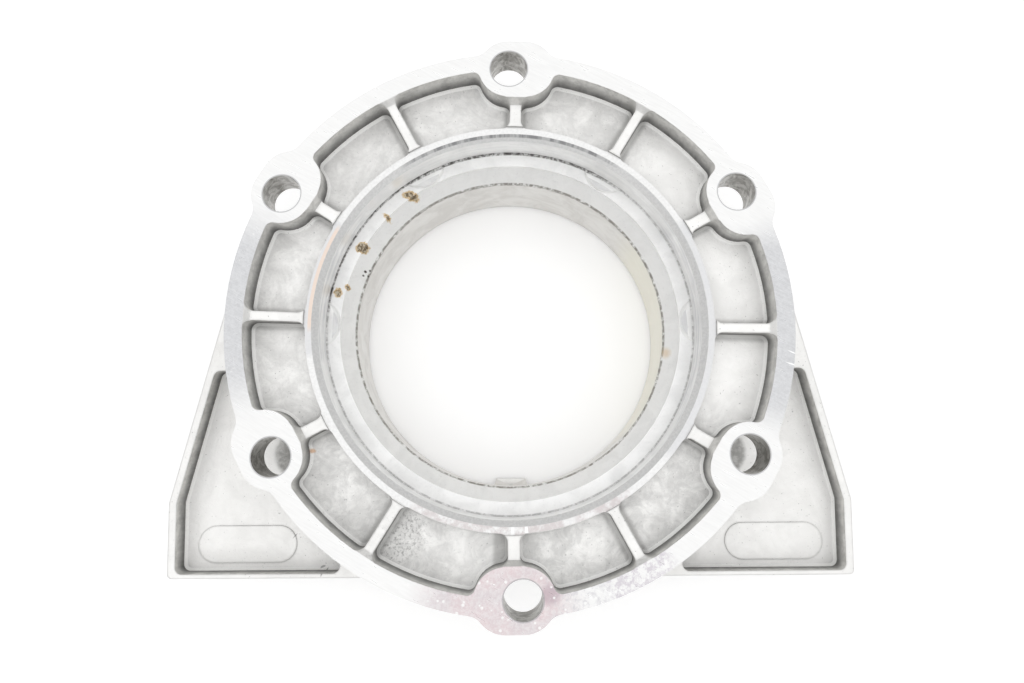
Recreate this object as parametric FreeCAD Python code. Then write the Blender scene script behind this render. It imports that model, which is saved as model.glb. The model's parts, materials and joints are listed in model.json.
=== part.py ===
import FreeCAD, Part
import math
import os

from FreeCAD import Vector

# A die cast housing: one aluminium casting with a ribbed six-hole flange in front, a bored hub,
# a short barrel and two wings joined by a flat base. Millimetres. The bore's axis is Z, the origin
# is where that axis meets the rear resting face, +Y points to the top ear. Angles run clockwise
# from +Y, as seen from the front.

# ---- Driving dimensions ----
overall_depth = 46.0          # rear resting face to the flange's front face
draft = 2.0                   # degrees of taper on the deep cast walls; shallow hollows are straight

flange_radius = 81.2
flange_thickness = 11.5
rim_width = 5.1               # front land between the flange's edge and the pockets
pocket_depth = 8.2
pocket_corner_radius = 2.2
pocket_floor_bevel = 0.8

hole_circle_radius = 76.5
hole_radius = 5.5
side_hole_angle = 60.3        # from the vertical, for the four holes at the sides
bottom_hole_shift = 2.35      # the bottom hole is drilled off the vertical, so it fits one way only
spot_face_radius = 9.2
spot_face_depth = 0.8

cast_clocking = 1.75          # the cast ears and ribs are turned this far from the drilled holes
ear_radius = 8.8
ear_half_straight = 2.5
ear_blend_radius = 5.0

rib_count = 12
ear_rib_width = 3.4
mid_rib_width = 2.7
rib_drop_outside = 1.9        # the crest's depth below the front face at the pocket's outer wall
rib_drop_inside = 3.4         # and at the hub
rib_end_rise = 1.2            # length of the steep end of a crest, where it runs up into the wall
rib_end_setback = 0.15

hub_radius = 59.5
hub_drop = 4.0                # the hub's face lies this far below the flange's face
facing_overrun = 0.4
counterbore_radius = 56.1
counterbore_depth = 10.3
counterbore_chamfer = 1.6
shelf_inner_radius = 51.8
shelf_step = 1.2
throat_radius = 47.8          # where the cast bore is narrowest
throat_drop = 5.7             # the throat's depth below the shelf
bore_rear_radius = 49.2
bore_rear_chamfer = 1.0

scallop_angles = (31.8, 88.0, 271.6, 331.8)
scallop_radius = 7.3
scallop_reach = 4.6           # how far each scallop reaches inward from the counterbore's wall
scallop_depth = 1.3
scallop_land = 0.2            # left between a scallop and the counterbore's wall

barrel_radius = 62.5
barrel_blend = 3.0

wing_crest_drop = 25.0        # the rim's crest below the flange's front face
wing_knee_half_width = 105.8
wing_knee_y = -52.5
wing_base_half_width = 105.1
wing_base_y = -75.2
wing_top_y = 15.0
wing_slant = 13.3             # degrees between the wing's long side and the vertical
wing_top_corner_radius = 10.0
wing_foot_corner_radius = 1.5

wing_rim_width = 2.3
base_rim_width = 1.3
recess_depth = 7.0
recess_inner_radius = 88.0
recess_top_y = -11.5
recess_corner_radius = 2.2
recess_floor_bevel = 0.8

pad_length = 31.0
pad_width = 11.3
pad_height = 0.3
pad_centre_x = 83.4
pad_centre_y = -66.0

web_thickness = 4.0
rear_wall = 4.5
rear_rib_width = 4.0
rear_rib_angles = (100.0, 125.0, 152.0, 180.0, 208.0, 235.0, 260.0)
rear_rib_setback = 2.0

stub_width = 13.0
stub_top_width = 10.0
stub_height = 2.5
stub_length = 4.0

# ---- Sizes that follow ----
clear = 2.0                   # how far the cutters run past the surfaces that they open
ROUND, SHARP = 0, 2           # the ways in which an offset outline turns its corners
taper = math.tan(math.radians(draft))
front_z = overall_depth
pocket_radius = flange_radius - rim_width
pocket_floor_z = front_z - pocket_depth
hub_z = front_z - hub_drop
shelf_z = hub_z - counterbore_depth
throat_z = shelf_z - throat_drop
flange_rear_z = front_z - flange_thickness
wing_crest_z = front_z - wing_crest_drop
recess_floor_z = wing_crest_z - recess_depth
ear_angles = [cast_clocking + a for a in
              (0.0, side_hole_angle, 180.0 - side_hole_angle, 180.0 - bottom_hole_shift,
               180.0 + side_hole_angle, 360.0 - side_hole_angle)]
hole_angles = [a - cast_clocking for a in ear_angles]


def point(radius, angle, z=0.0):
    """A point at a radius and a clockwise angle from +Y."""
    turn = math.radians(angle)
    return Vector(radius * math.sin(turn), radius * math.cos(turn), z)


def turned(profile):
    """A solid of revolution about the bore's axis, from (radius, z) corners, its seam in the top ear."""
    corners = [point(r, cast_clocking, z) for r, z in profile]
    face = Part.Face(Part.makePolygon(corners + corners[:1]))
    return face.revolve(Vector(0, 0, 0), Vector(0, 0, 1), 360)


def clocked(shape, angle):
    """A copy of a shape built over +Y, turned clockwise to its place."""
    copy = shape.copy()
    copy.rotate(Vector(0, 0, 0), Vector(0, 0, 1), -angle)
    return copy


def prism(low_corners, high_corners):
    """A flat-sided solid between two like outlines, whose corners run anticlockwise from above."""
    count = len(low_corners)
    outlines = [low_corners[::-1], high_corners]
    for i in range(count):
        j = (i + 1) % count
        outlines.append([low_corners[i], low_corners[j], high_corners[j], high_corners[i]])
    sides = [Part.Face(Part.makePolygon(outline + outline[:1])) for outline in outlines]
    return Part.makeSolid(Part.makeShell(sides))


def edges_between(shape, low, high, upright):
    """The edges that span two heights, or that lie at one height where upright is False."""
    found = []
    for edge in shape.Edges:
        box = edge.BoundBox
        if upright and abs(box.ZMin - low) < 0.01 and abs(box.ZMax - high) < 0.01:
            found.append(edge)
        if not upright and abs(box.ZMin - low) < 0.01 and abs(box.ZMax - low) < 0.01:
            found.append(edge)
    return found


def slot_face(half_straight, radius):
    """A flat round-ended face that lies along X, its middle on the bore's axis."""
    right = Vector(half_straight, 0, 0)
    up = Vector(0, radius, 0)
    side = Vector(radius, 0, 0)
    edges = [Part.makeLine(-right - up, right - up),
             Part.Arc(right - up, right + side, right + up).toShape(),
             Part.makeLine(right + up, -right + up),
             Part.Arc(-right + up, -right - side, -right - up).toShape()]
    return Part.Face(Part.Wire(edges))


def flat_face(corners):
    """A flat face between corners."""
    return Part.Face(Part.makePolygon(corners + corners[:1]))


def disc(radius):
    """A flat round face about the bore's axis."""
    return Part.Face(Part.Wire(Part.makeCircle(radius)))


def ears():
    """The outlines of the six ears."""
    face = slot_face(ear_half_straight, ear_radius)
    face.translate(Vector(0, hole_circle_radius, 0))
    return [clocked(face, angle) for angle in ear_angles]


def hollow(outline, corner_radius, low, high, bevel):
    """A straight-walled hollow with round corners and a bevelled floor edge, from its sharp outline."""
    core = outline.makeOffset2D(-corner_radius, SHARP)
    sections = []
    for z, grow in ((low, corner_radius - bevel), (low + bevel, corner_radius), (high, corner_radius)):
        wire = core.makeOffset2D(grow, ROUND).OuterWire
        wire.translate(Vector(0, 0, z))
        sections.append(wire)
    return Part.makeLoft(sections, True, True)


def flange():
    """The front flange with its six ears, blended into the round edge."""
    outline = disc(flange_radius).fuse(ears()).removeSplitter()
    blended = outline.Faces[0].makeOffset2D(ear_blend_radius, SHARP).makeOffset2D(-ear_blend_radius, ROUND)
    blank = blended.Faces[0].extrude(Vector(0, 0, flange_thickness))
    blank.translate(Vector(0, 0, flange_rear_z))
    return blank


def bar_outline(width, near, far, z):
    """The four corners of a bar that runs outward over +Y."""
    half = width / 2
    return [Vector(-half, near, z), Vector(half, near, z), Vector(half, far, z), Vector(-half, far, z)]


def rib_angle(index):
    """Ribs are evenly spaced, but the one at the bottom follows its shifted ear."""
    spacing = 360.0 / rib_count
    angle = cast_clocking + index * spacing
    if index == rib_count // 2:
        angle = ear_angles[3]
    return angle


def pockets():
    """The twelve pockets between hub, ribs, ears and rim."""
    ribs = []
    for index in range(rib_count):
        width = ear_rib_width if index % 2 == 0 else mid_rib_width
        ribs.append(clocked(flat_face(bar_outline(width, 0, flange_radius, 0)), rib_angle(index)))
    cells = disc(pocket_radius).cut([disc(hub_radius)] + ears() + ribs).Faces
    return [hollow(cell, pocket_corner_radius, pocket_floor_z, front_z + clear, pocket_floor_bevel)
            for cell in cells]


def rib_crest(index):
    """The space over one rib, whose crest falls towards the hub and rises steeply to the wall outside."""
    over_ear = index % 2 == 0
    width = ear_rib_width if over_ear else mid_rib_width
    end = (hole_circle_radius - ear_radius if over_ear else pocket_radius) - rib_end_setback
    slope = (rib_drop_inside - rib_drop_outside) / (pocket_radius - hub_radius)
    near = hub_radius - clear
    foot = end - rib_end_rise
    foot_z = front_z - rib_drop_outside - (pocket_radius - foot) * slope
    steepness = (front_z - foot_z) / rib_end_rise
    half = width / 2 + pocket_corner_radius + rib_end_setback
    corners = [Vector(-half, near, front_z - rib_drop_inside - clear * slope), Vector(-half, foot, foot_z),
               Vector(-half, end + clear / steepness, front_z + clear), Vector(-half, near, front_z + clear)]
    return clocked(flat_face(corners).extrude(Vector(2 * half, 0, 0)), rib_angle(index))


def bore():
    """Everything turned or cored about the axis: facing, counterbore, shelf, throat and cast bore."""
    facing_radius = hub_radius + facing_overrun
    return turned([
        (0, -clear),
        (bore_rear_radius + bore_rear_chamfer + clear, -clear),
        (bore_rear_radius, bore_rear_chamfer),
        (throat_radius, throat_z),
        (shelf_inner_radius, shelf_z - shelf_step),
        (shelf_inner_radius, shelf_z),
        (counterbore_radius, shelf_z),
        (counterbore_radius, hub_z - counterbore_chamfer),
        (counterbore_radius + counterbore_chamfer, hub_z),
        (facing_radius, hub_z),
        (facing_radius, front_z + clear),
        (0, front_z + clear),
    ])


def scallop(angle):
    """A shallow hollow with sloping sides in the shelf, stopped short of the counterbore's wall."""
    centre = counterbore_radius - scallop_reach + scallop_radius
    floor_z = shelf_z - scallop_depth
    bowl = Part.makeCone(scallop_radius - scallop_depth, scallop_radius + clear, scallop_depth + clear,
                         Vector(0, centre, floor_z))
    limit = counterbore_radius - scallop_land
    inside = Part.makeCone(limit - scallop_depth, limit + clear, scallop_depth + clear, Vector(0, 0, floor_z))
    shelf = Part.makeCylinder(counterbore_radius, scallop_depth + clear, Vector(0, 0, floor_z))
    return clocked(bowl.common(inside).common(shelf), angle)


def bolt_hole(angle):
    """One clearance hole through an ear, spot-faced behind."""
    foot = flange_rear_z - clear
    drill = Part.makeCylinder(hole_radius, flange_thickness + 2 * clear, Vector(0, 0, foot))
    spot = Part.makeCylinder(spot_face_radius, clear + spot_face_depth, Vector(0, 0, foot))
    tool = drill.fuse(spot)
    tool.translate(point(hole_circle_radius, angle))
    return tool


def crossing(start, along, other, across):
    """Where two lines in the XY plane meet, each given by a point and a direction."""
    gap = other - start
    scale = (gap.x * across.y - gap.y * across.x) / (along.x * across.y - along.y * across.x)
    return start + along * scale


def wing_outline(side_inset, base_inset, top_y, z):
    """The corners of both wings and the base, with the sides and the base moved inward."""
    slant = math.radians(wing_slant)
    knee = Vector(wing_knee_half_width, wing_knee_y, 0)
    foot = Vector(wing_base_half_width, wing_base_y, 0)
    lean = Vector(-math.sin(slant), math.cos(slant), 0)
    shin = (knee - foot).normalize()
    flat = Vector(1, 0, 0)
    long_side = knee + Vector(-lean.y, lean.x, 0) * side_inset
    short_side = knee + Vector(-shin.y, shin.x, 0) * side_inset
    base = foot + Vector(0, base_inset, 0)
    right = [crossing(base, flat, short_side, shin),
             crossing(short_side, shin, long_side, lean),
             crossing(long_side, lean, Vector(0, top_y, 0), flat)]
    left = [Vector(-p.x, p.y, 0) for p in reversed(right)]
    return [Vector(p.x, p.y, z) for p in right + left]


def wings():
    """The drafted slab behind the flange that carries both wings and the flat base."""
    grow = wing_crest_z * taper
    slab = prism(wing_outline(-grow, 0, wing_top_y + grow, 0), wing_outline(0, 0, wing_top_y, wing_crest_z))
    shoulders = [edge for edge in edges_between(slab, 0, wing_crest_z, True) if edge.BoundBox.YMin > 0]
    slab = slab.makeFillet(wing_top_corner_radius, shoulders)
    middle_y = (wing_base_y + wing_knee_y) / 2
    feet = [edge for edge in edges_between(slab, 0, wing_crest_z, True) if edge.BoundBox.YMax < middle_y]
    return slab.makeFillet(wing_foot_corner_radius, feet)


def recesses():
    """The sunk panel of each wing, between its rim and the round body of the housing."""
    outline = flat_face(wing_outline(wing_rim_width, base_rim_width, recess_top_y, 0))
    panels = outline.cut(disc(recess_inner_radius)).Faces
    return [hollow(panel, recess_corner_radius, recess_floor_z, wing_crest_z + clear, recess_floor_bevel)
            for panel in panels]


def pad(side):
    """The low round-ended pad in a wing's panel."""
    face = slot_face((pad_length - pad_width) / 2, pad_width / 2)
    shape = face.extrude(Vector(0, 0, web_thickness / 2 + pad_height))
    shape.translate(Vector(side * pad_centre_x, pad_centre_y, recess_floor_z - web_thickness / 2))
    return shape


def rear_bar(angle):
    """A plain stiffening rib behind the wings, left standing between two hollows."""
    far = 2 * recess_inner_radius
    low = bar_outline(rear_rib_width, 0, far, rear_rib_setback)
    high = bar_outline(rear_rib_width + 2 * (wing_crest_z - rear_rib_setback) * taper, 0, far, wing_crest_z)
    return clocked(prism(low, high), angle)


def rear_hollows():
    """The space behind the wings that keeps their walls even, open to the rear."""
    def inside(height):
        near = rear_wall - clear * taper
        far = rear_wall + height * taper
        return prism(wing_outline(near, near, wing_top_y - near, -clear),
                     wing_outline(far, far, wing_top_y - far, height))
    panel_height = recess_floor_z - web_thickness
    body_height = wing_crest_z - web_thickness
    round_radius = recess_inner_radius - web_thickness
    round_zone = Part.makeCone(round_radius + clear * taper, round_radius - body_height * taper,
                               body_height + clear, Vector(0, 0, -clear))
    space = inside(panel_height).fuse(inside(body_height).common(round_zone))
    barrel = Part.makeCone(barrel_radius - 2 * clear * taper, barrel_radius + wing_crest_z * taper,
                           wing_crest_z + 2 * clear, Vector(0, 0, -2 * clear))
    return space.cut([barrel] + [rear_bar(angle) for angle in rear_rib_angles])


def gate_stub():
    """The rough nub left on the bore's rear edge, at the bottom, where the casting was broken off."""
    outer = bore_rear_radius + bore_rear_chamfer + clear
    tip = bore_rear_radius - stub_height
    corners = [Vector(-stub_width / 2, -outer, 0), Vector(stub_width / 2, -outer, 0),
               Vector(stub_top_width / 2, -tip, 0), Vector(-stub_top_width / 2, -tip, 0)]
    face = Part.Face(Part.makePolygon(corners + corners[:1]))
    shape = face.extrude(Vector(0, 0, stub_length))
    shape.translate(Vector(0, 0, bore_rear_chamfer))
    return shape


def housing():
    """The whole casting, with its machined faces and holes."""
    body = flange().fuse(Part.makeCylinder(barrel_radius, flange_rear_z)).removeSplitter()
    neck = [edge for edge in edges_between(body, flange_rear_z, 0, False)
            if abs(edge.BoundBox.XMax - barrel_radius) < 0.01]
    body = body.makeChamfer(barrel_blend, neck)
    body = body.fuse(wings()).removeSplitter()
    body = body.cut(pockets() + [rib_crest(index) for index in range(rib_count)])
    body = body.cut(recesses())
    body = body.fuse([pad(-1), pad(1)])
    body = body.cut(rear_hollows())
    body = body.cut(bore())
    body = body.cut([scallop(angle) for angle in scallop_angles])
    body = body.cut([bolt_hole(angle) for angle in hole_angles])
    body = body.fuse(gate_stub())
    return body.removeSplitter()


os.makedirs("parts", exist_ok=True)
casting = housing()
casting.exportStep("parts/housing.step")
print("solids", len(casting.Solids), "valid", casting.isValid(), "volume", round(casting.Volume),
      "faces", len(casting.Faces), "box", casting.BoundBox)
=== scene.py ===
import json
import math
from typing import NamedTuple

import bpy
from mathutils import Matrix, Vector


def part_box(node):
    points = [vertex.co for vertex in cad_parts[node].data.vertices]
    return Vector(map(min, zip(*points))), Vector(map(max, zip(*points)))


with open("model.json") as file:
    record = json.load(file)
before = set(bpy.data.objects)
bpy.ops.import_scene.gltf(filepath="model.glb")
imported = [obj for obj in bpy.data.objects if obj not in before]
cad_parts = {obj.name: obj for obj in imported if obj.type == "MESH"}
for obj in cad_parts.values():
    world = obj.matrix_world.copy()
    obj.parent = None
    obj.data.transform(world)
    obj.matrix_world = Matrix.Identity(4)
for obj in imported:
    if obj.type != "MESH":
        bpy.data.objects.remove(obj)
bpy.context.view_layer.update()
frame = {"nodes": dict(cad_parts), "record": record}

bl_info = {
    "name": "Die Cast Housing",
    "version": (1, 0, 0),
    "blender": (4, 5, 0),
    "location": "View3D > Sidebar > Housing",
    "description": "Finishes a die cast housing and sets it on a pale studio table",
    "category": "Object",
}

# Lengths in the finishes are millimetres. Angles round the bore are degrees, clockwise from +Y as
# seen from the front.
MM = 0.001

# ---- Sizes read from the frame ----

HIGH = Vector(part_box("housing")[1])
MOUNTS = {mount["name"]: mount for mount in frame["record"]["mounts"]}
COUNTERBORE = MOUNTS["counterbore"]
SIDE_BOLTS = MOUNTS["side_bolts"]
FRONT_Z = HIGH.z / MM
BORE = COUNTERBORE["dims"]["r_mm"]
BORE_TOP = COUNTERBORE["pos_m"][2] / MM + COUNTERBORE["dims"]["length_mm"] / 2
SHELF_Z = BORE_TOP - COUNTERBORE["dims"]["length_mm"]
HOLE = SIDE_BOLTS["dims"]["hole_r_mm"]

# ---- Sizes that the frame does not state ----

FLANGE_REAR_Z = FRONT_Z - 11.5
POCKET_FLOOR_Z = FRONT_Z - 8.2
POCKET_RING = (59.0, 77.0)       # the radii between which the pockets and ribs lie
POCKET_RADIUS = 78.0             # parts the pockets' walls from the walls of the wings' recesses
RIB_SPACING = 30.0
RIB_TURN = 1.75                  # from +Y to the first rib
RIB_HALF_WIDTH = 1.5
WING_CREST_Z = FRONT_Z - 25.0
RECESS_FLOOR_Z = WING_CREST_Z - 7.0
RECESS_MIDDLE = (85.0, -55.0)    # in the right wing; the left wing mirrors it
BELOW_FLANGE_Z = (22.0, 26.0)    # the wings lie below these heights, the flange above them
REAR_TO_FRONT_Z = (5.0, 30.0)    # the rear contact faces lie below these, the front face above
CHAMFER = 1.6                    # at the counterbore's mouth
MOUTH = BORE + CHAMFER           # radius where the chamfer meets the hub's face
HUB_Z = BORE_TOP + CHAMFER
HUB_EDGE = 60.2                  # the hub's face ends inside this radius
SCALLOPS_FROM = 52.3             # the scallops in the shelf lie outside this radius
THROAT = 47.8                    # radius of the narrowest place
THROAT_Z = SHELF_Z - 5.7
CORED_WITHIN = THROAT + 2.5      # the cored bore's wall lies inside this radius
STUB_WITHIN = THROAT - 0.3       # the broken gate's stub, at the bore's foot, lies inside this one
STUB_HALF_WIDTH = 12.0


def hole_centres():
    """The middles of the six bolt holes: the rectangle of four, the top one and the bottom one."""
    sides = SIDE_BOLTS["dims"]
    centres = [(sx * sides["spacing_x_mm"] / 2, sy * sides["spacing_y_mm"] / 2)
               for sx in (-1, 1) for sy in (-1, 1)]
    for name in ("top_bolt", "bottom_bolt"):
        x, y, _ = MOUNTS[name]["pos_m"]
        centres.append((x / MM, y / MM))
    return centres


HOLES = hole_centres()
HOLES_OVER_WINGS = [(x, y) for x, y in HOLES[:4] if y < 0]


# ---- Settings ----

def tint(name, description, colour):
    """A colour setting."""
    return bpy.props.FloatVectorProperty(
        name=name, description=description, default=colour, min=0, max=1, subtype="COLOR")


def share(name, description, value):
    """A setting between 0 and 1."""
    return bpy.props.FloatProperty(
        name=name, description=description, default=value, min=0, max=1, subtype="FACTOR")


class HousingFinishSettings(bpy.types.PropertyGroup):
    """What a user would change in the casting's finish."""
    cast_colour: tint("Cast colour", "Colour of the raw die cast skin", (0.90, 0.895, 0.88))
    # The walls' darker grey is painted shade on the same cast skin. This grey also serves for
    # painted shade in corners and for soot, grit and scars.
    shade_and_grime_colour: tint(
        "Cast wall colour", "Colour of the steep cast walls", (0.46, 0.455, 0.44))
    machined_colour: tint(
        "Machined colour", "Colour of the milled and turned faces", (0.85, 0.85, 0.845))
    # This grey is the metal's real dulling where noise lays it on the bore. It is also used for the
    # painted reflections in the side sectors and the painted shade on the scallops' sides.
    tarnish_and_shade_colour: tint(
        "Tarnish colour", "Grey of the dulled machined faces", (0.56, 0.565, 0.58))
    rust_colour: tint("Rust colour", "Colour of the rust spots", (0.52, 0.34, 0.12))
    cast_roughness: share("Cast roughness", "Roughness of the raw skin", 0.55)
    machined_roughness: share(
        "Machined roughness", "Roughness of the milled and turned faces", 0.32)
    edge_radius: bpy.props.FloatProperty(
        name="Edge radius", description="Rounding of the cast edges in the shading",
        default=0.0009, min=0, max=0.003, subtype="DISTANCE", unit="LENGTH")


class HousingStudioSettings(bpy.types.PropertyGroup):
    """What a user would change in the studio."""
    focal_length: bpy.props.FloatProperty(
        name="Focal length", description="Lens of the camera on a 36 mm sensor",
        default=23.906, min=10, max=200, subtype="DISTANCE_CAMERA", unit="CAMERA")
    camera_place: bpy.props.FloatVectorProperty(
        name="Camera place",
        description="Where the camera stands over the middle of the front face",
        default=(-0.000549, -0.032244, 0.190709), subtype="TRANSLATION", unit="LENGTH")
    camera_turn: bpy.props.FloatVectorProperty(
        name="Camera turn", description="How the camera is turned away from straight down",
        default=tuple(math.radians(angle) for angle in (7.827, -0.304, -0.304)),
        subtype="EULER", unit="ROTATION")
    key_power: bpy.props.FloatProperty(
        name="Key power", description="Power of the wide light overhead",
        default=25.0, min=0, max=1000, subtype="POWER", unit="POWER")
    key_size: bpy.props.FloatProperty(
        name="Key size", description="Width of the light overhead",
        default=3.0, min=0.1, max=10, subtype="DISTANCE", unit="LENGTH")
    key_height: bpy.props.FloatProperty(
        name="Key height", description="Height of the light over the table",
        default=1.0, min=0.3, max=10, subtype="DISTANCE", unit="LENGTH")
    room_level: share("Room level", "Strength of the soft light from the room", 0.35)
    table_glow: share(
        "Table glow", "How much the table is lifted towards white where it is seen", 0.17)
    table_colour: tint("Table colour", "Colour of the pale table", (0.9, 0.9, 0.9))


# ---- Shading helpers ----

class Spot(NamedTuple):
    """A mark on a surface, which may be stretched along a direction given clockwise from +Y."""
    x: float
    y: float
    radius: float
    soft: float = 0.5
    stretch: float = 1.0
    turn: float = 0.0
    ragged: float = 1.2


def rgba(colour, scale=1.0):
    """A colour made lighter or darker by a scale, as a colour socket takes it."""
    return tuple(channel * scale for channel in colour) + (1.0,)


class Nodes:
    """Adds nodes to one tree and gives back their sockets."""

    def __init__(self, tree):
        self.tree = tree

    def node(self, kind, **settings):
        """A new node with its properties set."""
        made = self.tree.nodes.new(kind)
        for key, value in settings.items():
            setattr(made, key, value)
        return made

    def feed(self, socket, value):
        """Sets a socket from a number, a colour or another socket."""
        if isinstance(value, bpy.types.NodeSocket):
            self.tree.links.new(value, socket)
        else:
            socket.default_value = value

    def math(self, operation, first, second=0.0, third=0.0):
        """One sum on up to three values."""
        made = self.node("ShaderNodeMath", operation=operation)
        for socket, value in zip(made.inputs, (first, second, third)):
            self.feed(socket, value)
        return made.outputs[0]

    def product(self, first, *others):
        """All values multiplied."""
        for other in others:
            first = self.math("MULTIPLY", first, other)
        return first

    def most(self, first, *others):
        """The largest of the values."""
        for other in others:
            first = self.math("MAXIMUM", first, other)
        return first

    def step(self, value, low, high, to_low=0.0, to_high=1.0, curve="SMOOTHSTEP"):
        """A step from one result to another, between two limits of a value."""
        made = self.node("ShaderNodeMapRange", interpolation_type=curve)
        for socket, number in zip(made.inputs, (value, low, high, to_low, to_high)):
            self.feed(socket, number)
        return made.outputs[0]

    def fade(self, value, low, high):
        """1 below the lower limit and 0 above the upper one."""
        return self.step(value, low, high, 1.0, 0.0)

    def band(self, value, low, high, soft):
        """1 between two limits, falling to 0 over a soft width outside them."""
        return self.product(self.step(value, low - soft, low), self.fade(value, high, high + soft))


class Paint(Nodes):
    """Builds one finish's nodes, with its sockets in the housing's own frame."""

    def __init__(self, name):
        self.material = bpy.data.materials.new(name)
        self.material.use_nodes = True
        super().__init__(self.material.node_tree)
        coordinates = self.node("ShaderNodeTexCoord")
        scaled = self.node("ShaderNodeVectorMath", operation="SCALE")
        self.feed(scaled.inputs[0], coordinates.outputs["Object"])
        self.feed(scaled.inputs["Scale"], 1 / MM)
        self.place = scaled.outputs[0]
        self.x, self.y, self.z = self.split(self.place)
        self.radius = self.length(self.x, self.y)
        self.angle = self.math("DEGREES", self.math("ARCTAN2", self.x, self.y))
        self.up = self.split(coordinates.outputs["Normal"])[2]
        self.level = self.math("ABSOLUTE", self.up)

    def split(self, vector):
        """A vector's x, y and z."""
        made = self.node("ShaderNodeSeparateXYZ")
        self.feed(made.inputs[0], vector)
        return made.outputs[0], made.outputs[1], made.outputs[2]

    def join(self, x, y, z):
        """A vector from its x, y and z."""
        made = self.node("ShaderNodeCombineXYZ")
        for socket, value in zip(made.inputs, (x, y, z)):
            self.feed(socket, value)
        return made.outputs[0]

    def length(self, x, y):
        """The length of a flat vector."""
        return self.math("SQRT", self.math("ADD", self.product(x, x), self.product(y, y)))

    def away_from(self, x, y):
        """How far the surface lies from a point, along x and along y."""
        return self.math("SUBTRACT", self.x, x), self.math("SUBTRACT", self.y, y)

    def turned_from(self, angle, spacing=360.0):
        """The angle round the bore from the nearest of several evenly spaced directions."""
        turned = self.math("SUBTRACT", self.angle, angle)
        return self.math("WRAP", turned, spacing / 2, -spacing / 2)

    def sector(self, start, end, soft):
        """1 between two angles round the bore, going clockwise from the first to the second."""
        half = (end - start) / 2
        away = self.math("ABSOLUTE", self.turned_from((start + end) / 2))
        return self.fade(away, half, half + soft)

    def sectors(self, *sectors):
        """1 inside any of several sectors."""
        return self.most(*(self.sector(*sector) for sector in sectors))

    def noise(self, scale, detail=3.0, roughness=0.5, distortion=0.0, place=None):
        """Noise whose scale is in cycles per millimetre."""
        made = self.node("ShaderNodeTexNoise")
        self.feed(made.inputs["Vector"], place or self.place)
        self.feed(made.inputs["Scale"], scale)
        self.feed(made.inputs["Detail"], detail)
        self.feed(made.inputs["Roughness"], roughness)
        self.feed(made.inputs["Distortion"], distortion)
        return made.outputs["Fac"]

    def patches(self, scale, low, high, to_low=0.0, to_high=1.0, **character):
        """Noise that steps from one result to another between two limits."""
        return self.step(self.noise(scale, **character), low, high, to_low, to_high)

    def cells(self, scale):
        """Distance to the nearest of scattered points, in cells; the scale is in cells per mm."""
        made = self.node("ShaderNodeTexVoronoi")
        self.feed(made.inputs["Vector"], self.place)
        self.feed(made.inputs["Scale"], scale)
        return made.outputs["Distance"]

    def spot(self, mark):
        """1 inside a ragged mark."""
        east, north = math.sin(math.radians(mark.turn)), math.cos(math.radians(mark.turn))
        dx, dy = self.away_from(mark.x, mark.y)
        along = self.math("ADD", self.product(dx, east / mark.stretch),
                          self.product(dy, north / mark.stretch))
        across = self.math("SUBTRACT", self.product(dx, north), self.product(dy, east))
        edge = self.noise(0.8, detail=5.0, roughness=0.8)
        edge = self.math("MULTIPLY_ADD", edge, mark.ragged, -mark.ragged / 2)
        far = self.math("ADD", self.length(along, across), edge)
        return self.fade(far, mark.radius - mark.soft, mark.radius + mark.soft)

    def mix(self, factor, first, second, blend="MIX"):
        """A colour mix."""
        made = self.node("ShaderNodeMix", data_type="RGBA", blend_type=blend)
        colours = [socket for socket in made.inputs if socket.type == "RGBA"]
        self.feed(made.inputs[0], factor)
        self.feed(colours[0], first)
        self.feed(colours[1], second)
        return next(socket for socket in made.outputs if socket.type == "RGBA")

    def lay(self, colour, tone, *masks, amount=1.0):
        """Lays a tone over a colour where every mask is 1, as strongly as the amount says."""
        return self.mix(self.product(*masks, amount), colour, tone)

    def bump(self, height, distance, normal=None):
        """A bump whose distance is in millimetres."""
        made = self.node("ShaderNodeBump")
        self.feed(made.inputs["Distance"], distance * MM)
        self.feed(made.inputs["Height"], height)
        if normal is not None:
            self.feed(made.inputs["Normal"], normal)
        return made.outputs["Normal"]

    def soft_edges(self, radius):
        """A normal that rounds the edges by a radius in metres."""
        made = self.node("ShaderNodeBevel", samples=6)
        self.feed(made.inputs["Radius"], radius)
        return made.outputs[0]

    def shelter(self, distance):
        """1 in the open, less in corners and crevices."""
        made = self.node("ShaderNodeAmbientOcclusion", samples=8)
        self.feed(made.inputs["Distance"], distance * MM)
        return made.outputs["AO"]

    def finish(self, colour, roughness, normal, metallic):
        """Feeds the shader and gives back the material."""
        shader = self.tree.nodes["Principled BSDF"]
        self.feed(shader.inputs["Base Color"], colour)
        self.feed(shader.inputs["Roughness"], roughness)
        self.feed(shader.inputs["Normal"], normal)
        self.feed(shader.inputs["Metallic"], metallic)
        return self.material


# ---- Cast surfaces ----

CREVICE_REACH = 2.6              # how near a wall must be to shelter the skin beside it

# Sectors are a start, an end and the soft width outside them, in degrees.
PAINTED_LIGHT_SECTOR = (45, 108, 12)
DARKER_POCKET_SECTORS = ((122, 172, 8), (198, 240, 8))

SOOT = Spot(-31.5, -60.5, 6.5, soft=3.5, stretch=1.3, turn=30.0)
ORANGE = (0.75, 0.42, 0.2)
ORANGE_SPECK = Spot(-57.1, -36.5, 0.55, soft=0.3, stretch=1.4, turn=95.0)
SCARS = (
    Spot(-68.6, -63.6, 0.18, soft=0.15, stretch=4.0, turn=40.0, ragged=0.4),
    Spot(-59.4, -73.0, 0.3, soft=0.15, stretch=2.5, turn=70.0, ragged=0.4),
    Spot(-58.0, -74.0, 0.22, soft=0.15, stretch=3.0, turn=20.0, ragged=0.4),
)


def skin_wrinkles(p):
    """The shallow wrinkles that the metal's flow leaves on a cast surface."""
    return p.patches(0.45, 0.36, 0.64, detail=5.0, roughness=0.72, distortion=0.6)


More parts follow.
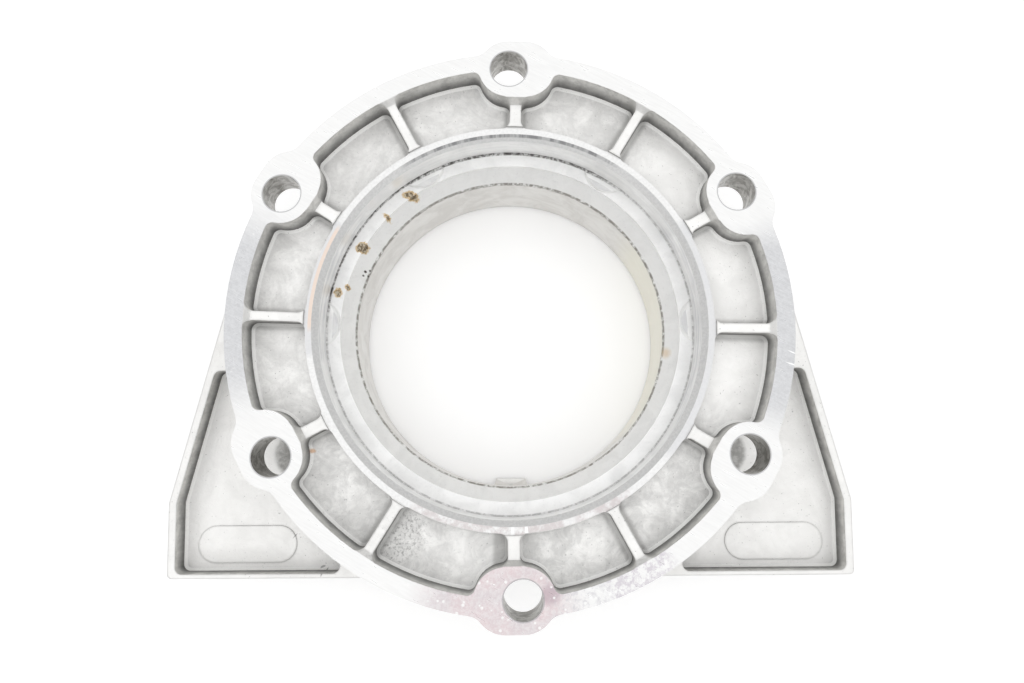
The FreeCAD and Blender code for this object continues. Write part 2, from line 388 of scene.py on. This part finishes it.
def cast_relief(p, look, wrinkles):
    """Softened edges, shallow wrinkles and a fine grain."""
    wrinkled = p.bump(wrinkles, distance=0.05, normal=p.soft_edges(look.edge_radius))
    return p.bump(p.noise(1.9, detail=4.0, roughness=0.6), distance=0.03, normal=wrinkled)


def cast_skin(look):
    """Raw die cast aluminium: mottled, wrinkled and pitted, with painted shade in corners, on steep
    faces, beside the ribs and under two holes, and painted light on the wings, one sector, the
    bevels and the rib crests.
    """
    p = Paint("cast_skin")
    skin, wall = look.cast_colour, look.shade_and_grime_colour
    flow = p.patches(0.09, 0.34, 0.66, detail=6.0, roughness=0.66, distortion=0.9)
    wrinkles = skin_wrinkles(p)
    below_flange = p.fade(p.z, *BELOW_FLANGE_Z)
    in_ring = p.product(p.band(p.radius, *POCKET_RING, 0.5),
                        p.step(p.z, POCKET_FLOOR_Z - 1.0, POCKET_FLOOR_Z - 0.5))

    colour = p.mix(flow, rgba(skin, 0.88), rgba(skin, 1.08))
    colour = p.lay(colour, rgba(skin, 0.62), wrinkles, amount=0.22)
    # Painted light: the skin is made lighter on the wings below the flange and in one sector of the
    # pockets.
    painted_light = p.most(p.product(below_flange, 0.75), p.product(p.sector(*PAINTED_LIGHT_SECTOR), 0.7))
    colour = p.lay(colour, rgba(skin, 1.08), painted_light)
    colour = pocket_darkening(p, look, colour, in_ring)
    # Painted highlight: faces that lean part way, as rounded edges and fillets do, are made
    # lighter.
    bevel_highlight = p.band(p.level, 0.6, 0.85, 0.1)
    colour = p.lay(colour, rgba(skin, 1.1), bevel_highlight, amount=0.8)
    colour = rib_highlight_and_shade(p, look, colour, in_ring)
    # Painted shade: steep faces of the skin are darkened.
    steep = p.step(p.level, 0.15, 0.5, 0.35, 0.0)
    colour = p.lay(colour, rgba(skin, 0.7), steep)
    pits = p.patches(1.6, 0.69, 0.75, detail=2.0)
    colour = p.lay(colour, rgba(skin, 0.35), pits, amount=0.55)
    # Painted shade: the skin is darkened in corners and crevices, where walls stand near by.
    crevices = p.step(p.shelter(CREVICE_REACH), 0.25, 0.8, 0.7, 0.0)
    colour = p.lay(colour, rgba(wall, 0.4), crevices)
    colour = skin_marks(p, look, colour, below_flange)

    roughness = p.step(flow, 0.0, 1.0, look.cast_roughness + 0.1, look.cast_roughness - 0.06)
    return p.finish(colour, roughness, cast_relief(p, look, wrinkles), metallic=0.3)


def pocket_darkening(p, look, colour, in_ring):
    """Darker blotches in the lower pockets and a patch of soot in one of them."""
    dark_blotches = p.patches(0.2, 0.44, 0.6, detail=5.0, roughness=0.7, distortion=1.2)
    colour = p.lay(colour, rgba(look.cast_colour, 0.55), p.sectors(*DARKER_POCKET_SECTORS), in_ring,
                   dark_blotches, amount=0.3)
    grit = p.patches(0.9, 0.5, 0.6, detail=4.0, roughness=0.8)
    return p.lay(colour, rgba(look.shade_and_grime_colour, 0.5), in_ring, p.spot(SOOT), grit, amount=0.6)


def rib_highlight_and_shade(p, look, colour, in_ring):
    """The ribs' crests made paler as painted highlight, and painted shade in grey on the floor
    beside their feet.
    """
    high = p.step(p.z, POCKET_FLOOR_Z + 2.0, POCKET_FLOOR_Z + 2.5)
    colour = p.lay(colour, rgba(look.cast_colour, 1.09), in_ring, high,
                   p.step(p.level, 0.7, 0.95), amount=0.7)
    # Painted shade on the floor beside the ribs' feet.
    low = p.fade(p.z, POCKET_FLOOR_Z + 1.0, POCKET_FLOOR_Z + 1.4)
    turned = p.math("RADIANS", p.turned_from(RIB_TURN, RIB_SPACING))
    aside = p.math("ABSOLUTE", p.product(p.radius, p.math("SINE", turned)))
    beside = p.fade(aside, RIB_HALF_WIDTH + 0.9, RIB_HALF_WIDTH + 2.4)
    return p.lay(colour, rgba(look.shade_and_grime_colour, 0.8), in_ring, low, beside, amount=0.5)


def skin_marks(p, look, colour, below_flange):
    """An orange speck, painted shade on the wings under two of the holes, and a few small scars."""
    colour = p.lay(colour, rgba(ORANGE), p.spot(ORANGE_SPECK), amount=0.7)
    patchy = p.patches(0.5, 0.35, 0.65, 0.95, 0.6, detail=4.0, roughness=0.7)
    for x, y in HOLES_OVER_WINGS:
        # Painted shade on the wing where the flange's ear hangs over it, round the hole.
        hole_shade = p.spot(Spot(x, y, HOLE + 1.5, soft=1.0))
        colour = p.lay(colour, rgba(look.shade_and_grime_colour, 0.75), below_flange, hole_shade, patchy)
    for scar in SCARS:
        colour = p.lay(colour, rgba(look.shade_and_grime_colour, 0.5), p.spot(scar), amount=0.7)
    return colour


def pocket_wall(look):
    """The steep walls of the pockets and recesses, with painted shade: a darker grey, lighter at
    the rim and darker low down, streaked.
    """
    p = Paint("pocket_wall")
    in_wing = p.math("LESS_THAN", p.z, WING_CREST_Z + 0.1)
    floor = p.math("MULTIPLY_ADD", in_wing, RECESS_FLOOR_Z - POCKET_FLOOR_Z, POCKET_FLOOR_Z)
    height = p.math("SUBTRACT", p.z, floor)
    drawn_out = p.join(p.x, p.y, p.product(p.z, 0.15))
    streaks = p.patches(0.35, 0.3, 0.7, -0.08, 0.1, detail=4.0, roughness=0.65, place=drawn_out)
    grime = p.patches(0.25, 0.40, 0.62, 1.0, 0.78, detail=4.0, roughness=0.7)
    # Painted shade: the wall grows darker towards its foot and lighter towards its rim.
    tone = p.product(p.math("ADD", p.step(height, 0.9, 7.2, 0.38, 1.75), streaks), grime)
    colour = p.mix(1.0, rgba(look.shade_and_grime_colour), p.join(tone, tone, tone), "MULTIPLY")
    relief = cast_relief(p, look, skin_wrinkles(p))
    return p.finish(colour, look.cast_roughness, relief, metallic=0.3)


# ---- The milled face ----

DARK_REFLECTION_SECTORS = ((262, 284, 14), (76, 106, 10))
MAUVE, MAUVE_SECTOR = (0.56, 0.52, 0.57), (148, 159, 3)
ASH, ASH_SECTOR = (0.55, 0.54, 0.57), (161, 171, 3)
PINK, PINK_GREY, PINK_SECTOR = (0.68, 0.56, 0.575), (0.60, 0.58, 0.60), (173, 193, 9)
PLUM, PLUM_SPOT = (0.46, 0.36, 0.40), Spot(10.4, -74.8, 2.6, soft=1.4)
DROPS_SECTOR = (148, 199, 4)
BARE_METAL = (0.95, 0.95, 0.95)
SCRATCHES = (
    Spot(80.0, -9.6, 0.16, soft=0.1, stretch=9.0, turn=115.0, ragged=0.2),
    Spot(79.6, -12.9, 0.2, soft=0.1, stretch=8.0, turn=108.0, ragged=0.2),
)


def milling_marks(p):
    """Fine slanted lines that a face mill leaves."""
    along = p.math("ADD", p.product(p.x, 0.9), p.product(p.y, 1.6))
    across = p.math("SUBTRACT", p.product(p.x, 0.12), p.product(p.y, 0.07))
    slanted = p.join(along, across, 0.0)
    return p.noise(1.0, roughness=0.6, distortion=0.2, place=slanted)


def milled_face(look):
    """The milled flange face: bright, with painted darker reflections at both sides, and stained
    round the bottom ear.
    """
    p = Paint("milled_face")
    machined, tarnish_and_shade = look.machined_colour, look.tarnish_and_shade_colour
    marks = milling_marks(p)
    grains = p.patches(1.1, 0.35, 0.65, detail=4.0, roughness=0.8)
    in_front = p.step(p.z, *REAR_TO_FRONT_Z)

    dark_reflection = p.mix(grains, rgba(tarnish_and_shade, 0.94), rgba(tarnish_and_shade, 1.1))
    dark_reflection = p.lay(dark_reflection, rgba(tarnish_and_shade, 1.3), p.step(marks, 0.35, 0.7, 0.0, 0.3))
    colour = p.mix(p.step(marks, 0.3, 0.7), rgba(machined, 0.97), rgba(machined, 1.02))
    # Painted reflection: the face is greyer in two sectors at the sides, where its tool marks would
    # mirror a darker room.
    for sector in DARK_REFLECTION_SECTORS:
        colour = p.lay(colour, dark_reflection, p.sector(*sector), in_front, amount=0.9)
    colour = ear_stains(p, look, colour, in_front, grains)
    flecks = p.patches(0.8, 0.60, 0.68, detail=5.0, roughness=0.8)
    colour = p.lay(colour, rgba(machined), flecks, amount=0.6)
    for x, y in HOLES:
        lip = p.fade(p.length(*p.away_from(x, y)), HOLE + 0.2, HOLE + 0.45)
        colour = p.lay(colour, rgba(tarnish_and_shade, 0.6), lip, amount=0.65)
    scratches = p.most(*(p.spot(scratch) for scratch in SCRATCHES))
    colour = p.lay(colour, rgba(BARE_METAL), in_front, scratches)

    usual = look.machined_roughness
    roughness = p.step(marks, 0.2, 0.8, usual + 0.06, usual - 0.06)
    return p.finish(colour, roughness, p.bump(marks, distance=0.006), metallic=0.6)


def ear_stains(p, look, colour, in_front, grains):
    """The stains round the bottom ear, with drops of unstained metal in them."""
    streaks = p.patches(0.55, 0.42, 0.60, detail=5.0, roughness=0.8)
    colour = p.lay(colour, rgba(MAUVE), p.sector(*MAUVE_SECTOR), streaks, in_front, amount=0.75)
    blotches = p.patches(0.10, 0.3, 0.7, 0.35, 1.0, detail=4.0, roughness=0.6)
    pink = p.mix(blotches, rgba(PINK_GREY), rgba(PINK))
    colour = p.lay(colour, pink, p.sector(*PINK_SECTOR), in_front,
                   p.step(grains, 0.0, 1.0, 0.6, 0.95))
    flakes = p.patches(0.5, 0.46, 0.62, detail=5.0, roughness=0.8)
    colour = p.lay(colour, rgba(ASH), p.sector(*ASH_SECTOR), in_front, flakes, amount=0.6)
    colour = p.lay(colour, rgba(PLUM), in_front, p.spot(PLUM_SPOT), amount=0.7)
    drops = p.product(p.fade(p.cells(0.5), 0.16, 0.26), p.patches(0.25, 0.40, 0.50, detail=2.0))
    return p.lay(colour, rgba(look.machined_colour, 1.05), p.sector(*DROPS_SECTOR), drops,
                 in_front, amount=0.8)


# ---- The turned hub and bore ----

HUB_REFLECTION_SECTORS = ((62, 128, 5), (262, 300, 2))
COPPER, COPPER_SECTOR = (0.84, 0.66, 0.54), (270, 298, 3)
BROWN, BROWN_SECTORS = (0.52, 0.44, 0.44), ((148, 160, 4), (167, 205, 5))
NICK_SECTORS = ((175.6, 176.2, 0.2), (179.3, 180.0, 0.2))
CHAMFER_DIRT, CHAMFER_DIRT_SECTOR = (0.26, 0.26, 0.27), (332, 388, 8)

CONE_DULL, CONE_BRIGHT = (0.90, 0.90, 0.89), (0.99, 0.99, 0.98)
WALL_REFLECTION_SECTORS = ((262, 305, 6), (60, 120, 8))
CORNER_SHADE_AND_DIRT, CORNER_SHADE_AND_DIRT_SECTOR = (0.08, 0.075, 0.07), (282, 385, 12)
CORNER_WIDE_SECTOR = (335, 385, 15)
THROAT_DARK = (0.16, 0.14, 0.11)

RUST_SPOTS = (
    Spot(-31.1, 42.3, 1.3, soft=0.25, stretch=2.0, turn=100.0, ragged=2.6),
    Spot(-45.8, 25.7, 1.7, soft=0.25, stretch=1.2, turn=60.0, ragged=2.6),
    Spot(-38.2, 35.3, 0.7, soft=0.25, stretch=1.8, turn=140.0, ragged=2.6),
    Spot(-52.8, 11.3, 1.3, soft=0.25, stretch=1.2, turn=0.0, ragged=2.6),
    Spot(-50.1, 13.1, 0.75, soft=0.25, stretch=1.2, turn=20.0, ragged=2.6),
)
RUST_FRINGE = 0.35               # how far the orange fringe reaches past the dark middle
RUST_CRUST, RUST_CRUMBS = (0.50, 0.45, 0.36), (0.07, 0.055, 0.04)
BLACK_STREAK = (0.03, 0.025, 0.02)
STREAK_SPOT = Spot(-55.4, 12.0, 0.8, soft=0.3, stretch=3.0, turn=12.0)
PEPPER = (0.06, 0.05, 0.04)
PEPPER_SPOTS = tuple(Spot(x, y, radius, soft=0.15, ragged=0.3) for x, y, radius in (
    (-45.4, 18.9, 0.35), (-44.2, 19.4, 0.25), (-44.7, 17.7, 0.3), (-46.0, 17.6, 0.25)))
TAN, TAN_SPOT = (0.80, 0.62, 0.40), Spot(48.3, -7.3, 1.0, soft=0.8, stretch=1.4)


def turned_hub(look):
    """The hub's narrow face and the chamfer inside it."""
    p = Paint("turned_hub")
    machined = look.machined_colour
    fine = p.noise(1.4, roughness=0.6)

    face = p.mix(p.step(fine, 0.3, 0.7), rgba(machined, 0.94), rgba(machined, 1.04))
    # Painted reflection: the hub's face is greyer in two sectors at the sides.
    face = p.lay(face, rgba(look.tarnish_and_shade_colour, 1.15), p.sectors(*HUB_REFLECTION_SECTORS), amount=0.6)
    face = p.lay(face, rgba(COPPER), p.sector(*COPPER_SECTOR),
                 p.band(p.radius, MOUTH, MOUTH + 0.9, 0.25), amount=0.7)
    blotches = p.patches(0.3, 0.38, 0.6, detail=4.0, roughness=0.7)
    face = p.lay(face, rgba(BROWN), p.sectors(*BROWN_SECTORS), blotches, amount=0.55)
    face = p.lay(face, rgba(BARE_METAL), p.sectors(*NICK_SECTORS))

    chamfer = p.mix(p.step(fine, 0.3, 0.7), rgba(machined, 0.88), rgba(machined))
    broken = p.patches(0.22, 0.42, 0.56, 0.35, 1.0, roughness=0.7,
                       place=p.join(p.angle, 0.0, 0.0))
    rim = p.step(p.radius, MOUTH - 0.85, MOUTH - 0.6)
    chamfer = p.lay(chamfer, rgba(CHAMFER_DIRT), p.sector(*CHAMFER_DIRT_SECTOR), broken, rim,
                    amount=0.85)

    colour = p.mix(p.fade(p.radius, MOUTH - 0.02, MOUTH + 0.02), face, chamfer)
    return p.finish(colour, look.machined_roughness, p.bump(fine, distance=0.01), metallic=0.4)


def turned_bore(look):
    """The counterbore's wall, its shelf with the scallops, and the cone down to the throat."""
    p = Paint("turned_bore")
    machined, tarnish_and_shade = look.machined_colour, look.tarnish_and_shade_colour
    fine = p.noise(1.2, detail=4.0, roughness=0.65)
    cloud = p.patches(0.12, 0.35, 0.65, detail=5.0, roughness=0.6, distortion=0.6)

    colour = p.mix(cloud, rgba(machined), rgba(machined, 1.1))
    inclined = p.fade(p.up, 0.9, 0.99)
    colour = p.lay(colour, p.mix(cloud, rgba(CONE_DULL), rgba(CONE_BRIGHT)), inclined, amount=0.85)
    colour = p.lay(colour, rgba(tarnish_and_shade), p.step(fine, 0.55, 0.75, 0.0, 0.25))
    # Painted reflection: the wall gets grey streaks, strongest in two sectors at the sides.
    wall = p.step(p.z, SHELF_Z + 0.3, SHELF_Z + 0.8)
    unrolled = p.join(p.product(p.angle, 0.12), 0.0, p.z)
    sheen = p.patches(0.5, 0.4, 0.65, roughness=0.6, place=unrolled)
    grey = p.most(p.sectors(*WALL_REFLECTION_SECTORS), 0.35)
    colour = p.lay(colour, rgba(tarnish_and_shade, 1.15), wall, sheen, grey, amount=0.7)
    colour = shelf_corner(p, colour)
    colour = shelf_hollows(p, look, colour, cloud)
    # Darker in patches in a band round the throat.
    throat = p.band(p.z, THROAT_Z - 0.2, THROAT_Z + 0.45, 0.3)
    throat_patches = p.patches(0.5, 0.36, 0.56, detail=4.0, roughness=0.8)
    colour = p.lay(colour, rgba(THROAT_DARK), throat, throat_patches, amount=0.8)
    colour = rust(p, look, colour)

    usual = look.machined_roughness
    roughness = p.step(cloud, 0.0, 1.0, usual + 0.12, usual)
    return p.finish(colour, roughness, p.bump(fine, distance=0.015), metallic=0.35)


def shelf_corner(p, colour):
    """A dark line in the corner between the wall and the shelf, a little wider at the top: painted
    shade, with specks of dirt in it.
    """
    reach = p.math("ADD", p.radius, p.product(p.sector(*CORNER_WIDE_SECTOR), 0.2))
    corner = p.product(p.step(reach, BORE - 0.7, BORE - 0.3),
                       p.fade(p.z, SHELF_Z + 0.35, SHELF_Z + 0.7))
    specks = p.patches(0.8, 0.42, 0.56, 0.3, 1.0, detail=4.0, roughness=0.8)
    upper = p.math("MULTIPLY_ADD", p.sector(*CORNER_SHADE_AND_DIRT_SECTOR), 0.5, 0.45)
    return p.lay(colour, rgba(CORNER_SHADE_AND_DIRT), corner, specks, upper)


def shelf_hollows(p, look, colour, cloud):
    """The scallops' steep sides, darkened as painted shade, and the level places below the shelf,
    duller than the rest.
    """
    # Painted shade on the scallops' steep sides.
    scallops = p.product(p.fade(p.level, 0.2, 0.45), p.math("LESS_THAN", p.z, SHELF_Z + 0.05),
                         p.band(p.radius, SCALLOPS_FROM, BORE - 0.2, 0.15))
    colour = p.lay(colour, rgba(look.tarnish_and_shade_colour, 0.75), scallops, amount=0.75)
    below = p.product(p.band(p.z, THROAT_Z + 1.0, SHELF_Z - 0.1, 0.05), p.step(p.up, 0.97, 0.99))
    return p.lay(colour, rgba(look.tarnish_and_shade_colour), below, cloud, amount=0.6)


def rust(p, look, colour):
    """Rust spots on the shelf, dark with an orange fringe, and the stains near them."""
    on_shelf = p.fade(p.z, SHELF_Z + 0.6, SHELF_Z + 1.2)
    crumbs = p.patches(1.1, 0.44, 0.54, roughness=0.7)
    crust = p.mix(crumbs, rgba(RUST_CRUST), rgba(RUST_CRUMBS))
    for fringe in RUST_SPOTS:
        middle = fringe._replace(radius=fringe.radius - RUST_FRINGE)
        colour = p.lay(colour, rgba(look.rust_colour, 1.25), p.spot(fringe), on_shelf, amount=0.85)
        colour = p.lay(colour, crust, p.spot(middle), on_shelf, amount=0.85)
    colour = p.lay(colour, rgba(BLACK_STREAK), p.spot(STREAK_SPOT), on_shelf)
    for grain in PEPPER_SPOTS:
        colour = p.lay(colour, rgba(PEPPER), p.spot(grain))
    return p.lay(colour, rgba(TAN), p.spot(TAN_SPOT), amount=0.6)


# ---- The cored bore and the drilled holes ----

CORED_DULL, CORED_PALE = (0.74, 0.725, 0.70), (0.86, 0.85, 0.83)
WARM_REFLECTION, WARM_REFLECTION_SECTOR = (0.93, 0.91, 0.80), (60, 125, 15)
UNDER_THROAT_DARK = (0.13, 0.11, 0.09)
FOOT_SHADE = (0.25, 0.24, 0.23)
DRILLED_DARK, DRILLED_PALE = (0.30, 0.29, 0.27), (0.62, 0.61, 0.59)


def cored_bore(look):
    """The cast wall of the bore below the throat: smooth, matt and slightly brown, with a painted
    warm reflection on its right side.
    """
    p = Paint("cored_bore")
    cloud = p.patches(0.1, 0.35, 0.65, detail=5.0, roughness=0.65, distortion=0.8)
    colour = p.mix(cloud, rgba(CORED_DULL), rgba(CORED_PALE))
    # Painted reflection: a warmer, paler tint on the right side.
    colour = p.lay(colour, rgba(WARM_REFLECTION), p.sector(*WARM_REFLECTION_SECTOR), amount=0.75)
    # Darker in patches just under the throat.
    under_throat = p.step(p.z, THROAT_Z - 0.9, THROAT_Z - 0.1)
    throat_patches = p.patches(0.7, 0.42, 0.56, detail=4.0, roughness=0.8)
    colour = p.lay(colour, rgba(UNDER_THROAT_DARK), under_throat, throat_patches, amount=0.8)
    colour = p.lay(colour, rgba(FOOT_SHADE), p.fade(p.z, 1.0, 1.6), amount=0.5)
    grain = p.bump(p.noise(1.5, detail=4.0, roughness=0.6), distance=0.03)
    return p.finish(colour, roughness=0.5, normal=grain, metallic=0.25)


def drilled_hole(look):
    """A bolt hole's wall, with the drill's rings and streaks."""
    p = Paint("drilled_hole")
    squeezed = p.join(p.product(p.x, 0.25), p.product(p.y, 0.25), p.product(p.z, 2.0))
    rings = p.bump(p.noise(0.8, roughness=0.6, place=squeezed), distance=0.02)
    streaks = p.patches(0.35, 0.38, 0.62, detail=4.0, roughness=0.7, distortion=1.0)
    colour = p.mix(streaks, rgba(DRILLED_DARK), rgba(DRILLED_PALE))
    return p.finish(colour, roughness=0.35, normal=rings, metallic=0.85)


# ---- Dressing the casting ----

# A finish's number is its place in FINISHES.
FINISHES = (cast_skin, pocket_wall, milled_face, turned_hub, turned_bore, cored_bore, drilled_hole)
CAST, WALL, MILLED, HUB, TURNED, CORED, DRILLED = range(len(FINISHES))
NEAR = 0.05                      # how closely a face's middle is compared with a size
STEEP = 0.5                      # a wall's normal rises less than this
FLAT = 0.999                     # a flat face's normal rises more than this


def finish_of(polygon):
    """Which finish one face of the casting has, from where it lies and which way it looks."""
    x, y, z = (value / MM for value in polygon.center)
    radius = math.hypot(x, y)
    normal = polygon.normal
    steep = abs(normal.z) < STEEP
    outward = normal.x * x + normal.y * y > 0
    if abs(normal.z) > FLAT and (z > FRONT_Z - NEAR or z < NEAR):
        return MILLED
    in_hole = any(math.hypot(x - hole_x, y - hole_y) < HOLE + NEAR for hole_x, hole_y in HOLES)
    if steep and z > FLANGE_REAR_Z and in_hole:
        return DRILLED
    if radius < HUB_EDGE and BORE_TOP - NEAR < z < HUB_Z + NEAR and not (steep and outward):
        return HUB
    if radius < BORE + NEAR and z > THROAT_Z - NEAR:
        return TURNED
    if radius < STUB_WITHIN and y < 0 and abs(x) < STUB_HALF_WIDTH:
        return CAST
    if radius < CORED_WITHIN and z <= THROAT_Z:
        return CORED
    if steep and z > POCKET_FLOOR_Z and radius < POCKET_RADIUS:
        return WALL
    middle_x, middle_y = math.copysign(RECESS_MIDDLE[0], x), RECESS_MIDDLE[1]
    inward = normal.x * (middle_x - x) + normal.y * (middle_y - y) > 0
    if steep and inward and RECESS_FLOOR_Z < z < WING_CREST_Z and radius > POCKET_RADIUS:
        return WALL
    return CAST


class HOUSING_OT_dress_casting(bpy.types.Operator):
    """Gives the casting its cast, milled, turned, cored and drilled finishes"""
    bl_idname = "housing.dress_casting"
    bl_label = "Dress the casting"

    def execute(self, context):
        mesh = frame["nodes"]["housing"].data
        mesh.materials.clear()
        for finish in FINISHES:
            mesh.materials.append(finish(context.scene.housing_finish))
        for polygon in mesh.polygons:
            polygon.material_index = finish_of(polygon)
        return {"FINISHED"}


# ---- Studio ----

WHITE = (1.0, 1.0, 1.0, 1.0)
TABLE_HALF_WIDTH = 3.0           # metres, as are the next three
TABLE_WHITENS_FROM = 0.04
TABLE_WHITE_FROM = 1.2
CLIP_START = 0.01


def table_finish(studio):
    """A matt pale table that shows shadows. It is lifted towards white where it is seen directly
    or in metal and glass, and most of all far from the housing."""
    material = bpy.data.materials.new("pale_table")
    material.use_nodes = True
    nodes = Nodes(material.node_tree)
    path = nodes.node("ShaderNodeLightPath").outputs
    seen = nodes.most(path["Is Camera Ray"], path["Is Glossy Ray"], path["Is Transmission Ray"])
    reach = nodes.node("ShaderNodeVectorMath", operation="LENGTH")
    nodes.feed(reach.inputs[0], nodes.node("ShaderNodeTexCoord").outputs["Object"])
    glow = nodes.step(reach.outputs["Value"], TABLE_WHITENS_FROM, TABLE_WHITE_FROM,
                      studio.table_glow, 1.0, curve="LINEAR")
    shader = nodes.tree.nodes["Principled BSDF"]
    nodes.feed(shader.inputs["Base Color"], rgba(studio.table_colour))
    nodes.feed(shader.inputs["Roughness"], 0.9)
    nodes.feed(shader.inputs["Specular IOR Level"], 0.1)
    nodes.feed(shader.inputs["Emission Color"], WHITE)
    nodes.feed(shader.inputs["Emission Strength"], nodes.product(seen, glow))
    return material


def add_table(scene, studio):
    """A wide square table with its top at the height where the housing stands."""
    half = TABLE_HALF_WIDTH
    corners = [(-half, -half, 0), (half, -half, 0), (half, half, 0), (-half, half, 0)]
    mesh = bpy.data.meshes.new("table")
    mesh.from_pydata(corners, [], [(0, 1, 2, 3)])
    mesh.materials.append(table_finish(studio))
    table = bpy.data.objects.new("table", mesh)
    scene.collection.objects.link(table)


def add_room(scene, studio):
    """A soft dim room that is white where it is seen directly."""
    world = bpy.data.worlds.new("room")
    world.use_nodes = True
    nodes = Nodes(world.node_tree)
    seen = nodes.node("ShaderNodeLightPath").outputs["Is Camera Ray"]
    background = nodes.tree.nodes["Background"]
    nodes.feed(background.inputs["Color"], WHITE)
    nodes.feed(background.inputs["Strength"], nodes.step(seen, 0.0, 1.0, studio.room_level, 1.0))
    scene.world = world


def add_key_light(scene, studio):
    """One wide light that looks straight down."""
    light = bpy.data.lights.new("wide_light_overhead", "AREA")
    light.size = studio.key_size
    light.energy = studio.key_power
    lamp = bpy.data.objects.new("wide_light_overhead", light)
    scene.collection.objects.link(lamp)
    lamp.location = (0, 0, studio.key_height)


def add_camera(scene, studio):
    """The camera, placed over the housing's front face."""
    lens = bpy.data.cameras.new("camera")
    lens.lens = studio.focal_length
    lens.clip_start = CLIP_START
    camera = bpy.data.objects.new("camera", lens)
    scene.collection.objects.link(camera)
    camera.location = Vector(studio.camera_place) + Vector((0, 0, HIGH.z))
    camera.rotation_mode = "ZYX"
    camera.rotation_euler = studio.camera_turn
    scene.camera = camera


class HOUSING_OT_set_stage(bpy.types.Operator):
    """Adds the table, the soft light, the room and the camera"""
    bl_idname = "housing.set_stage"
    bl_label = "Set the stage"

    def execute(self, context):
        scene = context.scene
        for add in (add_table, add_room, add_key_light, add_camera):
            add(scene, scene.housing_studio)
        scene.view_settings.view_transform = "Standard"
        return {"FINISHED"}


# ---- Add-on ----

OPERATORS = (HOUSING_OT_dress_casting, HOUSING_OT_set_stage)


class HOUSING_PT_panel(bpy.types.Panel):
    """The housing's settings and operators"""
    bl_idname = "HOUSING_PT_panel"
    bl_label = "Die Cast Housing"
    bl_space_type = "VIEW_3D"
    bl_region_type = "UI"
    bl_category = "Housing"

    def draw(self, context):
        for group in (context.scene.housing_finish, context.scene.housing_studio):
            for name in group.__annotations__:
                self.layout.prop(group, name)
        for operator in OPERATORS:
            self.layout.operator(operator.bl_idname)


CLASSES = (HousingFinishSettings, HousingStudioSettings, *OPERATORS, HOUSING_PT_panel)


def register():
    """Registers the classes and the scene's settings."""
    for cls in CLASSES:
        bpy.utils.register_class(cls)
    bpy.types.Scene.housing_finish = bpy.props.PointerProperty(type=HousingFinishSettings)
    bpy.types.Scene.housing_studio = bpy.props.PointerProperty(type=HousingStudioSettings)


def unregister():
    """Takes away what register added."""
    del bpy.types.Scene.housing_studio
    del bpy.types.Scene.housing_finish
    for cls in reversed(CLASSES):
        bpy.utils.unregister_class(cls)


def main():
    """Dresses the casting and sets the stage."""
    register()
    bpy.ops.housing.dress_casting()
    bpy.ops.housing.set_stage()


if __name__ == "__main__":
    main()
